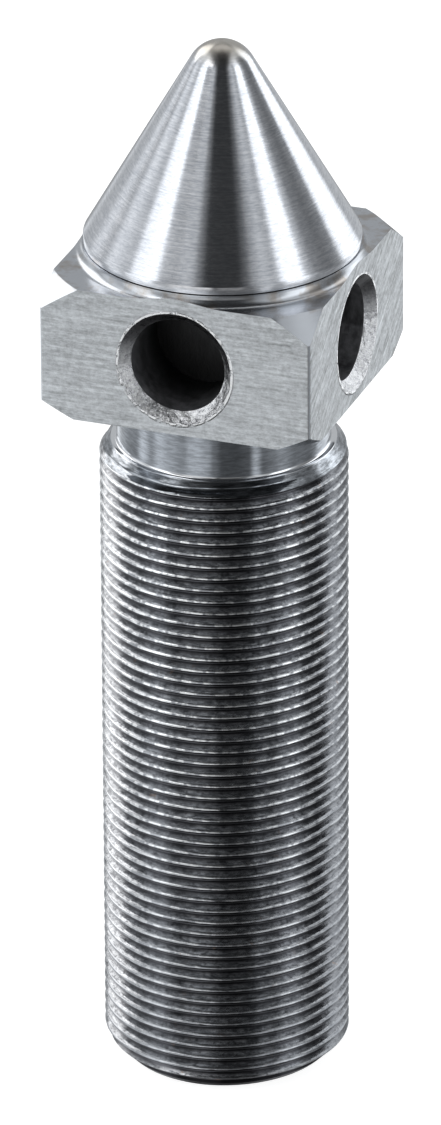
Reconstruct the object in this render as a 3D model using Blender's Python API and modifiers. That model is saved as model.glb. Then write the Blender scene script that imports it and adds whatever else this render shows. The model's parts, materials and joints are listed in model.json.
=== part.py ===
"""Live centre: a 60 degree rotating point carried on bearings inside a threaded, square-headed body.

The axis of rotation is +Z. The origin is the centre of the shank's rear face, and the point is at the top.
The head is a square with a blind capstan hole in each side, so a bar can turn the body in its holder.
Sizes are in metres; MM turns millimetres into metres.
"""

import math

import bmesh
import bpy
from mathutils import Matrix

MM = 0.001
TURN = 2.0 * math.pi

# Overall driving dimensions
THREAD_DIAMETER = 41.275 * MM  # 1 5/8 inch
THREAD_PITCH = 25.4 / 12.0 * MM  # 12 threads per inch
THREAD_DEPTH = 0.6134 * THREAD_PITCH  # external unified thread
THREAD_START = 1.2 * MM - 2 * THREAD_PITCH  # height of a crest, below the rear face
HEAD_ACROSS_FLATS = 46.7 * MM
HEAD_HEIGHT = 23.3 * MM
HEAD_BOTTOM_Z = 122.8 * MM
POINT_DIAMETER = 45.8 * MM
POINT_HALF_ANGLE = math.radians(30.0)
POINT_TIP_RADIUS = 5.9 * MM

# Head and shank details
HEAD_TOP_Z = HEAD_BOTTOM_Z + HEAD_HEIGHT
HEAD_CORNER_BEVEL = 0.5 * MM
HEAD_TOP_CHAMFER_RADIUS = 28.7 * MM
HEAD_TOP_CHAMFER_DROP = 4.6 * MM
HEAD_BOTTOM_CHAMFER_RADIUS = 29.3 * MM
HEAD_BOTTOM_CHAMFER_RISE = 3.0 * MM
HEAD_CORNER_RADIUS = 33.3 * MM  # just outside the square's corners
BOSS_RADIUS = 23.1 * MM
BOSS_HEIGHT = 1.8 * MM
BOSS_FILLET = 1.7 * MM
NECK_RADIUS = 17.75 * MM
NECK_BOTTOM_Z = 112.6 * MM
NECK_FILLET = 0.5 * MM
NECK_STUB = 4.0 * MM  # how far the neck's blank runs into the shank, to be joined to it
SHOULDER_CHAMFER = 2.0 * MM
REAR_CHAMFER = 3.4 * MM

# Capstan holes
CAPSTAN_RADIUS = 8.1 * MM
CAPSTAN_MOUTH_RADIUS = 9.8 * MM
CAPSTAN_Z = HEAD_BOTTOM_Z + HEAD_HEIGHT / 2
CAPSTAN_FLOOR = 9.4 * MM  # distance of a hole's flat floor from the axis

# Running gap between the point and the head, and fits between pieces that touch on the real object
SEAM = 0.3 * MM
FIT = 0.05 * MM
SPINDLE_FIT = 0.12 * MM
CLEAR = 0.1 * MM
BALL_CLEAR = 0.25 * MM
POINT_BOTTOM_Z = HEAD_TOP_Z + BOSS_HEIGHT + SEAM
POINT_LAND = 1.1 * MM

# Thrust ball bearing, 17 x 30 x 9
THRUST_BORE = 8.5 * MM
THRUST_RADIUS = 15.0 * MM
THRUST_WASHER = 2.6 * MM
THRUST_HEIGHT = 9.0 * MM
THRUST_BALL = 2.38 * MM
THRUST_PITCH_RADIUS = 11.75 * MM
THRUST_BALLS = 10
THRUST_CAGE_THICKNESS = 1.8 * MM
THRUST_FLOOR_Z = HEAD_TOP_Z - 1.0 * MM

# Deep groove ball bearings, 12 x 24 x 6
BEARING_BORE = 6.0 * MM
BEARING_RADIUS = 12.0 * MM
BEARING_WIDTH = 6.0 * MM
BEARING_BALL = 1.75 * MM
BEARING_PITCH_RADIUS = 9.0 * MM
BEARING_BALLS = 8
BEARING_CAGE_HEIGHT = 4.8 * MM
BEARING_CAGE_THICKNESS = 1.1 * MM
INNER_RACE_RADIUS = 7.85 * MM
OUTER_RACE_BORE = 10.15 * MM
FRONT_BEARING_Z = 110.2 * MM  # centre
REAR_BEARING_Z = 64.2 * MM

# Spindle, below the point
SPINDLE_WAIST = 7.0 * MM
HEAD_BORE = 7.3 * MM
SPINDLE_TAIL_Z = 53.2 * MM
SPINDLE_CHAMFER = 0.6 * MM
LOCK_WASHER_THICKNESS = 1.0 * MM
LOCK_WASHER_TABS = 9
LOCK_NUT_THICKNESS = 4.6 * MM
LOCK_NUT_RADIUS = 9.3 * MM
LOCK_NUT_CHAMFER = 0.5 * MM
LOCK_NUT_SLOTS = 4
LOCK_NUT_SLOT_WIDTH = 3.2 * MM
LOCK_NUT_SLOT_DEPTH = 1.5 * MM

# Housing details inside the shank
CIRCLIP_THICKNESS = 1.2 * MM
CIRCLIP_GROOVE = 0.7 * MM
CIRCLIP_WIDTH = 1.8 * MM
CIRCLIP_EYE_RADIUS = 9.75 * MM  # how far in the two eyes reach
CIRCLIP_EYE_HOLE = 0.7 * MM
CIRCLIP_HALF_GAP = math.radians(16.0)
CIRCLIP_EYE_SPAN = math.radians(14.0)
CIRCLIP_EYE_ROOT = math.radians(3.4)
SEAL_INNER = 17.3 * MM
SEAL_OUTER = 19.5 * MM
SEAL_DEPTH = 1.7 * MM
PLUG_THREAD_RADIUS = 13.0 * MM
PLUG_THREAD_LENGTH = 7.0 * MM
PLUG_TOP_Z = 13.0 * MM
PLUG_RECESS = 0.6 * MM
PLUG_NOSE_RADIUS = 11.7 * MM
PLUG_SPANNER_HOLE = 1.75 * MM
PLUG_SPANNER_RADIUS = 8.6 * MM
PLUG_SPANNER_DEPTH = 4.0 * MM
PLUG_COUNTERBORE_RADIUS = 4.6 * MM
PLUG_COUNTERBORE_DEPTH = 3.4 * MM
PLUG_CHAMFER = 0.8 * MM
O_RING_Z = 10.0 * MM
O_RING_SECTION = 0.85 * MM
O_RING_GROOVE_DEPTH = 1.5 * MM
FITTING_STEM_RADIUS = 2.9 * MM
FITTING_STEM_REACH = 1.5 * MM  # beyond the plug's nose
FITTING_HEAD_RADIUS = 4.0 * MM
FITTING_HEAD_CHAMFER = 1.2 * MM
FITTING_MOUTH = 1.1 * MM

# Facets round each kind of piece
HEAD_FACETS = 36  # and the point's
SHANK_FACETS = 16
INNER_FACETS = 20
HOLE_FACETS = 24

LIVE_CENTRE = "live_centre"
CUTTERS = "cutters"


# ---------------------------------------------------------------- scene helpers


def clear_scene():
    """Removes every object, so that the file holds only this model."""
    for thing in list(bpy.data.objects):
        bpy.data.objects.remove(thing, do_unlink=True)


def new_collection(name):
    group = bpy.data.collections.new(name)
    bpy.context.scene.collection.children.link(group)
    return group


def new_material(name, colour, roughness, metallic):
    material = bpy.data.materials.new(name)
    material.use_nodes = True
    shader = material.node_tree.nodes["Principled BSDF"]
    shader.inputs["Base Color"].default_value = (*colour, 1.0)
    shader.inputs["Roughness"].default_value = roughness
    shader.inputs["Metallic"].default_value = metallic
    return material


def add_object(name, data, collection=LIVE_CENTRE):
    thing = bpy.data.objects.new(name, data)
    bpy.data.collections[collection].objects.link(thing)
    return thing


def finish_piece(thing, material, smooth_angle=35.0):
    """Gives a mesh piece its material and smooth round faces."""
    thing.data.materials.clear()
    thing.data.materials.append(material)
    thing.data.shade_smooth()
    thing.data.set_sharp_from_angle(angle=math.radians(smooth_angle))
    return thing


def apply_modifiers(thing):
    """Replaces an object's mesh with the mesh that its modifiers make."""
    graph = bpy.context.evaluated_depsgraph_get()
    baked = bpy.data.meshes.new_from_object(thing.evaluated_get(graph))
    thing.modifiers.clear()
    thing.data = baked
    return thing


def combine(thing, tool, operation):
    """Boolean of thing with tool, applied. The tool becomes a hidden guide."""
    boolean = thing.modifiers.new(operation.lower(), "BOOLEAN")
    boolean.operation = operation
    boolean.object = tool
    tool.hide_render = True
    tool.display_type = "WIRE"
    return apply_modifiers(thing)


# ---------------------------------------------------------------- shape helpers


def arc(radius_centre, z_centre, radius, start, end, steps):
    """Points on an arc in the profile plane, angles in degrees from +X towards +Z."""
    points = []
    for i in range(steps + 1):
        angle = math.radians(start + (end - start) * i / steps)
        points.append((radius_centre + radius * math.cos(angle), z_centre + radius * math.sin(angle)))
    return points


def turned(name, profile, facets, collection=LIVE_CENTRE, closed=True):
    """A turned piece. The profile holds (radius, z) points that run down the outside and up the inside.

    A profile that is not closed starts and ends on the axis.
    """
    mesh = bpy.data.meshes.new(name)
    shape = bmesh.new()
    corners = [shape.verts.new((radius, 0.0, z)) for radius, z in profile]
    for first, second in zip(corners, corners[1:]):
        shape.edges.new((first, second))
    if closed:
        shape.edges.new((corners[-1], corners[0]))
    shape.to_mesh(mesh)
    shape.free()
    thing = add_object(name, mesh, collection)
    screw = thing.modifiers.new("turn", "SCREW")
    screw.axis = "Z"
    screw.angle = TURN
    screw.steps = facets
    screw.render_steps = facets
    screw.use_merge_vertices = True
    screw.merge_threshold = 0.00001
    return apply_modifiers(thing)


def ring(name, inner, outer, bottom, top, facets=INNER_FACETS, collection=LIVE_CENTRE):
    """A plain turned ring."""
    profile = [(outer, top), (outer, bottom), (inner, bottom), (inner, top)]
    return turned(name, profile, facets, collection)


def balls(prefix, count, radius, pitch_radius, height, material):
    """A ring of balls, each its own object. Their parent is an empty on the axis that they roll round."""
    mesh = bpy.data.meshes.new(prefix)
    shape = bmesh.new()
    bmesh.ops.create_uvsphere(shape, u_segments=8, v_segments=6, radius=radius)
    shape.to_mesh(mesh)
    shape.free()
    axis = add_object(prefix + "_axis", None)
    axis.location = (0.0, 0.0, height)
    for i in range(count):
        ball = add_object(f"{prefix}_{i + 1:02d}", mesh)
        ball.parent = axis
        angle = TURN * i / count
        ball.location = (pitch_radius * math.cos(angle), pitch_radius * math.sin(angle), 0.0)
        ball.rotation_euler = (0.0, 0.0, angle)
        finish_piece(ball, material)


def cylinder_ring(name, count, radius, length, place, facets):
    """Cutters: cylinders repeated round the axis.

    place maps a cylinder that lies along Z at the origin to its first position.
    """
    mesh = bpy.data.meshes.new(name)
    shape = bmesh.new()
    for i in range(count):
        where = Matrix.Rotation(TURN * i / count, 4, "Z") @ place
        bmesh.ops.create_cone(
            shape, cap_ends=True, segments=facets, radius1=radius, radius2=radius, depth=length, matrix=where
        )
    shape.to_mesh(mesh)
    shape.free()
    return add_object(name, mesh, CUTTERS)


def flat_piece(name, outlines, bottom, thickness):
    """A flat piece from closed outlines in XY: the first is its edge, and any others are holes."""
    curve = bpy.data.curves.new(name, "CURVE")
    curve.dimensions = "2D"
    curve.fill_mode = "BOTH"
    curve.extrude = thickness / 2
    for outline in outlines:
        spline = curve.splines.new("POLY")
        spline.points.add(len(outline) - 1)
        for point, (x, y) in zip(spline.points, outline):
            point.co = (x, y, 0.0, 1.0)
        spline.use_cyclic_u = True
    guide = add_object(name + "_outline", curve, CUTTERS)
    graph = bpy.context.evaluated_depsgraph_get()
    mesh = bpy.data.meshes.new_from_object(guide.evaluated_get(graph))
    bpy.data.objects.remove(guide)
    shape = bmesh.new()
    shape.from_mesh(mesh)
    bmesh.ops.remove_doubles(shape, verts=shape.verts, dist=0.000001)
    bmesh.ops.translate(shape, verts=shape.verts, vec=(0.0, 0.0, bottom + thickness / 2))
    shape.to_mesh(mesh)
    shape.free()
    return add_object(name, mesh)


def circle_outline(radius, facets, centre=(0.0, 0.0)):
    return [
        (centre[0] + radius * math.cos(TURN * i / facets), centre[1] + radius * math.sin(TURN * i / facets))
        for i in range(facets)
    ]


# ---------------------------------------------------------------- the threaded body


def head_blank():
    """The turned outside of the head, its boss and its neck, before the square is cut.

    The neck ends inside the shank, where a small fillet flares onto the shoulder.
    """
    seam_z = HEAD_TOP_Z + BOSS_HEIGHT
    stub_z = NECK_BOTTOM_Z - NECK_STUB
    flare = NECK_RADIUS + NECK_FILLET
    profile = [(0.0, seam_z), (BOSS_RADIUS, seam_z)]
    profile += arc(BOSS_RADIUS + BOSS_FILLET, HEAD_TOP_Z + BOSS_FILLET, BOSS_FILLET, 180, 270, 4)
    profile += [
        (HEAD_TOP_CHAMFER_RADIUS, HEAD_TOP_Z),
        (HEAD_CORNER_RADIUS, HEAD_TOP_Z - HEAD_TOP_CHAMFER_DROP),
        (HEAD_CORNER_RADIUS, HEAD_BOTTOM_Z + HEAD_BOTTOM_CHAMFER_RISE),
        (HEAD_BOTTOM_CHAMFER_RADIUS, HEAD_BOTTOM_Z),
        (NECK_RADIUS, HEAD_BOTTOM_Z),
    ]
    profile += arc(flare, NECK_BOTTOM_Z + NECK_FILLET - FIT, NECK_FILLET, 180, 270, 3)
    profile += [(flare, stub_z), (0.0, stub_z)]
    return turned("threaded_body", profile, HEAD_FACETS, closed=False)


def square_bar():
    """The square bar that the head is made from, with slightly rounded corners."""
    mesh = bpy.data.meshes.new("square_bar")
    shape = bmesh.new()
    length = 2 * POINT_BOTTOM_Z
    size = Matrix.Diagonal((HEAD_ACROSS_FLATS, HEAD_ACROSS_FLATS, length, 1.0))
    bmesh.ops.create_cube(shape, size=1.0, matrix=size)
    upright = [e for e in shape.edges if abs(e.verts[0].co.z - e.verts[1].co.z) > length / 2]
    bmesh.ops.bevel(shape, geom=upright, offset=HEAD_CORNER_BEVEL, segments=2, profile=0.5, affect="EDGES")
    shape.to_mesh(mesh)
    shape.free()
    return add_object("square_bar", mesh, CUTTERS)


def shank_blank():
    """The outline of the threaded length: its chamfered ends, and sides that stand clear of the crests."""
    outside = THREAD_DIAMETER / 2 + 4 * CLEAR
    shoulder = outside - THREAD_DIAMETER / 2 + SHOULDER_CHAMFER
    rear = outside - THREAD_DIAMETER / 2 + REAR_CHAMFER
    profile = [
        (0.0, NECK_BOTTOM_Z),
        (outside - shoulder, NECK_BOTTOM_Z),
        (outside, NECK_BOTTOM_Z - shoulder),
        (outside, rear),
        (outside - rear, 0.0),
        (0.0, 0.0),
    ]
    return turned("shank_blank", profile, SHANK_FACETS, CUTTERS, closed=False)


def threaded_rod():
    """A right-handed threaded rod, longer than the shank at both ends.

    One pitch of the thread's outline is screwed upwards turn by turn, and each end is closed to a point
    on the axis.
    """
    crest = THREAD_DIAMETER / 2
    root = crest - THREAD_DEPTH
    flat = THREAD_PITCH / 8
    turns = math.ceil(NECK_BOTTOM_Z / THREAD_PITCH) + 4
    start = THREAD_START
    outline = [
        (crest, start),
        (crest, start - flat),
        (root, start - (flat + THREAD_PITCH) / 2),
        (crest, start - THREAD_PITCH),
    ]
    mesh = bpy.data.meshes.new("threaded_rod")
    shape = bmesh.new()
    corners = [shape.verts.new((radius, 0.0, z)) for radius, z in outline]
    for first, second in zip(corners, corners[1:]):
        shape.edges.new((first, second))
    shape.to_mesh(mesh)
    shape.free()
    rod = add_object("threaded_rod", mesh, CUTTERS)
    screw = rod.modifiers.new("helix", "SCREW")
    screw.axis = "Z"
    screw.angle = TURN
    screw.screw_offset = THREAD_PITCH
    screw.iterations = turns
    screw.steps = SHANK_FACETS
    screw.render_steps = SHANK_FACETS
    apply_modifiers(rod)

    shape = bmesh.new()
    shape.from_mesh(rod.data)
    bmesh.ops.remove_doubles(shape, verts=shape.verts, dist=0.000001)
    middle = NECK_BOTTOM_Z / 2
    for end_z in (start - 3 * THREAD_PITCH, start + (turns + 3) * THREAD_PITCH):
        rim = [e for e in shape.edges if e.is_boundary and (e.verts[0].co.z > middle) == (end_z > middle)]
        grown = bmesh.ops.extrude_edge_only(shape, edges=rim)["geom"]
        tip = [v for v in grown if isinstance(v, bmesh.types.BMVert)]
        bmesh.ops.pointmerge(shape, verts=tip, merge_co=(0.0, 0.0, end_z))
    bmesh.ops.recalc_face_normals(shape, faces=shape.faces)
    shape.to_mesh(rod.data)
    shape.free()
    return rod


def body_bores():
    """Every coaxial bore in the body, as one turned cutter, from the thrust pocket to the plug's thread."""
    bearing_bore = BEARING_RADIUS + FIT
    shoulder_z = FRONT_BEARING_Z + BEARING_WIDTH / 2 + FIT
    groove_top = REAR_BEARING_Z - BEARING_WIDTH / 2 - FIT
    groove_bottom = groove_top - CIRCLIP_THICKNESS - 2 * FIT
    plug_bore = PLUG_THREAD_RADIUS + CLEAR
    pocket = THRUST_RADIUS + CLEAR
    top = HEAD_TOP_Z + BOSS_HEIGHT + MM
    profile = [
        (0.0, top),
        (pocket, top),
        (pocket, THRUST_FLOOR_Z),
        (HEAD_BORE, THRUST_FLOOR_Z),
        (HEAD_BORE, shoulder_z),
        (bearing_bore, shoulder_z),
        (bearing_bore, groove_top),
        (bearing_bore + CIRCLIP_GROOVE, groove_top),
        (bearing_bore + CIRCLIP_GROOVE, groove_bottom),
        (bearing_bore, groove_bottom),
        (bearing_bore, PLUG_THREAD_LENGTH + MM),
        (plug_bore, PLUG_THREAD_LENGTH + MM),
        (plug_bore, -MM),
        (0.0, -MM),
    ]
    return turned("body_bores", profile, INNER_FACETS, CUTTERS, closed=False)


def capstan_cutter(angle):
    """One blind capstan hole with its countersunk mouth, pointing out along the given angle."""
    face = HEAD_ACROSS_FLATS / 2
    countersink = CAPSTAN_MOUTH_RADIUS - CAPSTAN_RADIUS
    beyond = MM
    profile = [
        (0.0, face + beyond),
        (CAPSTAN_MOUTH_RADIUS + beyond, face + beyond),
        (CAPSTAN_RADIUS, face - countersink),
        (CAPSTAN_RADIUS, CAPSTAN_FLOOR),
        (0.0, CAPSTAN_FLOOR),
    ]
    cutter = turned("capstan_hole", profile, HOLE_FACETS, CUTTERS, closed=False)
    place = Matrix.Translation((0.0, 0.0, CAPSTAN_Z))
    cutter.matrix_world = place @ Matrix.Rotation(angle, 4, "Z") @ Matrix.Rotation(math.pi / 2, 4, "Y")
    return cutter


def make_body(steel):
    """The body: square head, neck and hollow threaded shank in one piece of steel."""
    body = head_blank()
    combine(body, square_bar(), "INTERSECT")
    shank = threaded_rod()
    combine(shank, shank_blank(), "INTERSECT")
    combine(body, shank, "UNION")
    combine(body, body_bores(), "DIFFERENCE")
    seal_seat = ring(
        "seal_seat",
        SEAL_INNER - CLEAR,
        SEAL_OUTER + CLEAR,
        HEAD_TOP_Z + BOSS_HEIGHT - SEAL_DEPTH,
        HEAD_TOP_Z + BOSS_HEIGHT + MM,
        HEAD_FACETS,
        CUTTERS,
    )
    combine(body, seal_seat, "DIFFERENCE")
    for quarter in range(4):
        combine(body, capstan_cutter(quarter * math.pi / 2), "DIFFERENCE")
    return finish_piece(body, steel)


# ---------------------------------------------------------------- the rotating point


def make_point(steel):
    """The 60 degree point and its spindle, which are one piece, with a pocket for the thrust bearing."""
    radius = POINT_DIAMETER / 2
    base_z = POINT_BOTTOM_Z + POINT_LAND
    apex_z = base_z + radius / math.tan(POINT_HALF_ANGLE)
    tip_centre_z = apex_z - POINT_TIP_RADIUS / math.sin(POINT_HALF_ANGLE)
    pocket = THRUST_RADIUS + CLEAR
    pocket_z = THRUST_FLOOR_Z + THRUST_HEIGHT + FIT
    journal = THRUST_BORE - SPINDLE_FIT
    seat = BEARING_BORE - SPINDLE_FIT
    seat_z = FRONT_BEARING_Z + BEARING_WIDTH / 2 + FIT
    profile = arc(0.0, tip_centre_z, POINT_TIP_RADIUS, 90, math.degrees(POINT_HALF_ANGLE), 5)
    profile[0] = (0.0, profile[0][1])
    profile += [
        (radius, base_z),
        (radius, POINT_BOTTOM_Z),
        (pocket, POINT_BOTTOM_Z),
        (pocket, pocket_z),
        (journal, pocket_z),
        (journal, THRUST_FLOOR_Z + SPINDLE_CHAMFER),
        (SPINDLE_WAIST, THRUST_FLOOR_Z),
        (SPINDLE_WAIST, seat_z),
        (seat, seat_z),
        (seat, SPINDLE_TAIL_Z + SPINDLE_CHAMFER),
        (seat - SPINDLE_CHAMFER, SPINDLE_TAIL_Z),
        (0.0, SPINDLE_TAIL_Z),
    ]
    return finish_piece(turned("point_spindle", profile, HEAD_FACETS, closed=False), steel)


# ---------------------------------------------------------------- bearings and small pieces


def make_thrust_bearing(steel, brass):
    """Two grooved washers, a ball cage and its balls, between the head and the point."""
    bottom = THRUST_FLOOR_Z + FIT
    top = THRUST_FLOOR_Z + THRUST_HEIGHT
    middle = (bottom + top) / 2
    groove = THRUST_BALL + BALL_CLEAR

    def grooved(name, race_z, back_z, inner):
        """A washer from its flat back to its grooved race. The groove is part of a circle round the balls."""
        depth = groove - abs(race_z - middle)
        half = math.sqrt(groove**2 - (groove - depth) ** 2)
        up = 1 if back_z > race_z else -1
        steps = 4
        dip = []
        for i in range(steps + 1):
            offset = half - 2 * half * i / steps
            dip.append((THRUST_PITCH_RADIUS + offset, middle + up * math.sqrt(groove**2 - offset**2)))
        profile = [(THRUST_RADIUS, back_z), (THRUST_RADIUS, race_z)]
        profile += dip
        profile += [(inner, race_z), (inner, back_z)]
        if up < 0:
            profile.reverse()
        return finish_piece(turned(name, profile, INNER_FACETS), steel)

    grooved("thrust_washer_lower", bottom + THRUST_WASHER, bottom, THRUST_BORE + 3 * CLEAR)
    grooved("thrust_washer_upper", top - THRUST_WASHER, top, THRUST_BORE)
    balls("thrust_ball", THRUST_BALLS, THRUST_BALL, THRUST_PITCH_RADIUS, middle, steel)
    half_cage = THRUST_CAGE_THICKNESS / 2
    cage = ring(
        "thrust_ball_cage",
        THRUST_BORE + 5 * CLEAR,
        THRUST_RADIUS - 4 * CLEAR,
        middle - half_cage,
        middle + half_cage,
    )
    pocket = Matrix.Translation((THRUST_PITCH_RADIUS, 0.0, middle))
    holes = cylinder_ring("thrust_pockets", THRUST_BALLS, THRUST_BALL + BALL_CLEAR, 4 * half_cage, pocket, 10)
    combine(cage, holes, "DIFFERENCE")
    finish_piece(cage, brass)


def make_ball_bearing(prefix, centre_z, steel, brass):
    """A deep groove ball bearing: outer race, inner race, cage and balls."""
    half = BEARING_WIDTH / 2 - FIT
    groove = BEARING_BALL + BALL_CLEAR
    pitch = BEARING_PITCH_RADIUS
    edge = math.degrees(math.acos((pitch - INNER_RACE_RADIUS) / groove))
    bottom = centre_z - half
    top = centre_z + half
    inner = [(INNER_RACE_RADIUS, top)]
    inner += arc(pitch, centre_z, groove, 180 - edge, 180 + edge, 4)
    inner += [(INNER_RACE_RADIUS, bottom), (BEARING_BORE, bottom), (BEARING_BORE, top)]
    finish_piece(turned(prefix + "_inner_race", inner, INNER_FACETS), steel)
    outer = [(BEARING_RADIUS, top), (BEARING_RADIUS, bottom), (OUTER_RACE_BORE, bottom)]
    outer += arc(pitch, centre_z, groove, -edge, edge, 4)
    outer += [(OUTER_RACE_BORE, top)]
    finish_piece(turned(prefix + "_outer_race", outer, INNER_FACETS), steel)
    balls(prefix + "_ball", BEARING_BALLS, BEARING_BALL, pitch, centre_z, steel)
    half_cage = BEARING_CAGE_HEIGHT / 2
    wall = BEARING_CAGE_THICKNESS / 2
    cage = ring(prefix + "_cage", pitch - wall, pitch + wall, centre_z - half_cage, centre_z + half_cage)
    pocket = Matrix.Translation((pitch, 0.0, centre_z)) @ Matrix.Rotation(math.pi / 2, 4, "Y")
    holes = cylinder_ring(prefix + "_pockets", BEARING_BALLS, BEARING_BALL + BALL_CLEAR, 6 * wall, pocket, 8)
    combine(cage, holes, "DIFFERENCE")
    finish_piece(cage, brass)


def make_spacers(steel):
    """The two sleeves that hold the bearings apart, one on the inner races and one on the outer races."""
    top = FRONT_BEARING_Z - BEARING_WIDTH / 2 - FIT
    bottom = REAR_BEARING_Z + BEARING_WIDTH / 2 + FIT
    finish_piece(ring("inner_spacer", BEARING_BORE, INNER_RACE_RADIUS - 3 * CLEAR, bottom, top), steel)
    finish_piece(ring("outer_spacer", OUTER_RACE_BORE + 5 * CLEAR, BEARING_RADIUS - FIT, bottom, top), steel)


def make_lock_nut(steel):
    """The slotted round nut that draws the spindle down onto its bearings."""
    top = REAR_BEARING_Z - BEARING_WIDTH / 2 - LOCK_WASHER_THICKNESS - 2 * FIT
    bottom = top - LOCK_NUT_THICKNESS
    profile = [
        (LOCK_NUT_RADIUS, top),
        (LOCK_NUT_RADIUS, bottom + LOCK_NUT_CHAMFER),
        (LOCK_NUT_RADIUS - LOCK_NUT_CHAMFER, bottom),
        (BEARING_BORE, bottom),
        (BEARING_BORE, top),
    ]
    nut = turned("lock_nut", profile, INNER_FACETS)
    slot_size = Matrix.Diagonal((2 * LOCK_NUT_SLOT_DEPTH, LOCK_NUT_SLOT_WIDTH, 3 * LOCK_NUT_THICKNESS, 1.0))
    mesh = bpy.data.meshes.new("nut_slots")
    shape = bmesh.new()
    for i in range(LOCK_NUT_SLOTS):
        turn = Matrix.Rotation(TURN * i / LOCK_NUT_SLOTS, 4, "Z")
        place = turn @ Matrix.Translation((LOCK_NUT_RADIUS, 0.0, bottom))
        bmesh.ops.create_cube(shape, size=1.0, matrix=place @ slot_size)
    shape.to_mesh(mesh)
    shape.free()
    combine(nut, add_object("nut_slots", mesh, CUTTERS), "DIFFERENCE")
    finish_piece(nut, steel)


def make_lock_washer(steel):
    """The tabbed washer between the nut and the rear inner race."""
    body_radius = INNER_RACE_RADIUS
    tab_radius = LOCK_NUT_RADIUS - 3 * CLEAR
    outline = []
    for i in range(LOCK_WASHER_TABS):
        for share, radius in ((0.0, body_radius), (0.5, body_radius), (0.55, tab_radius), (0.95, tab_radius)):
            angle = TURN * (i + share) / LOCK_WASHER_TABS
            outline.append((radius * math.cos(angle), radius * math.sin(angle)))
    bottom = REAR_BEARING_Z - BEARING_WIDTH / 2 - FIT / 2 - LOCK_WASHER_THICKNESS
    hole = circle_outline(BEARING_BORE, INNER_FACETS)
    finish_piece(flat_piece("lock_washer", [outline, hole], bottom, LOCK_WASHER_THICKNESS), steel)


def make_circlip(steel):
    """The internal retaining ring under the rear bearing's outer race, open at the back, with two eyes."""
    outer = BEARING_RADIUS + CIRCLIP_GROOVE - 2 * CLEAR
    inner = outer - CIRCLIP_WIDTH
    eye_end = CIRCLIP_HALF_GAP + CIRCLIP_EYE_SPAN
    eye_root = eye_end + CIRCLIP_EYE_ROOT
    steps = 26

    def place(radius, angle):
        return (radius * math.cos(angle), radius * math.sin(angle))

    def sweep(radius, first, last):
        return [place(radius, first + (last - first) * i / steps) for i in range(steps + 1)]

    outline = sweep(outer, CIRCLIP_HALF_GAP, TURN - CIRCLIP_HALF_GAP)
    outline += [place(CIRCLIP_EYE_RADIUS, -CIRCLIP_HALF_GAP), place(CIRCLIP_EYE_RADIUS, -eye_end)]
    outline += sweep(inner, TURN - eye_root, eye_root)
    outline += [place(CIRCLIP_EYE_RADIUS, eye_end), place(CIRCLIP_EYE_RADIUS, CIRCLIP_HALF_GAP)]
    hole_angle = (CIRCLIP_HALF_GAP + eye_end) / 2
    hole_radius = (outer + CIRCLIP_EYE_RADIUS) / 2
    holes = [
        circle_outline(CIRCLIP_EYE_HOLE, 8, place(hole_radius, side * hole_angle))
        for side in (1, -1)
    ]
    bottom = REAR_BEARING_Z - BEARING_WIDTH / 2 - 2 * FIT - CIRCLIP_THICKNESS
    finish_piece(flat_piece("bearing_circlip", [outline] + holes, bottom, CIRCLIP_THICKNESS), steel)


def make_seal(felt):
    """The felt ring that keeps dirt out of the running gap."""
    bottom = HEAD_TOP_Z + BOSS_HEIGHT - SEAL_DEPTH + FIT
    top = POINT_BOTTOM_Z - CLEAR
    finish_piece(ring("felt_seal", SEAL_INNER, SEAL_OUTER, bottom, top, HEAD_FACETS), felt)


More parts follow.
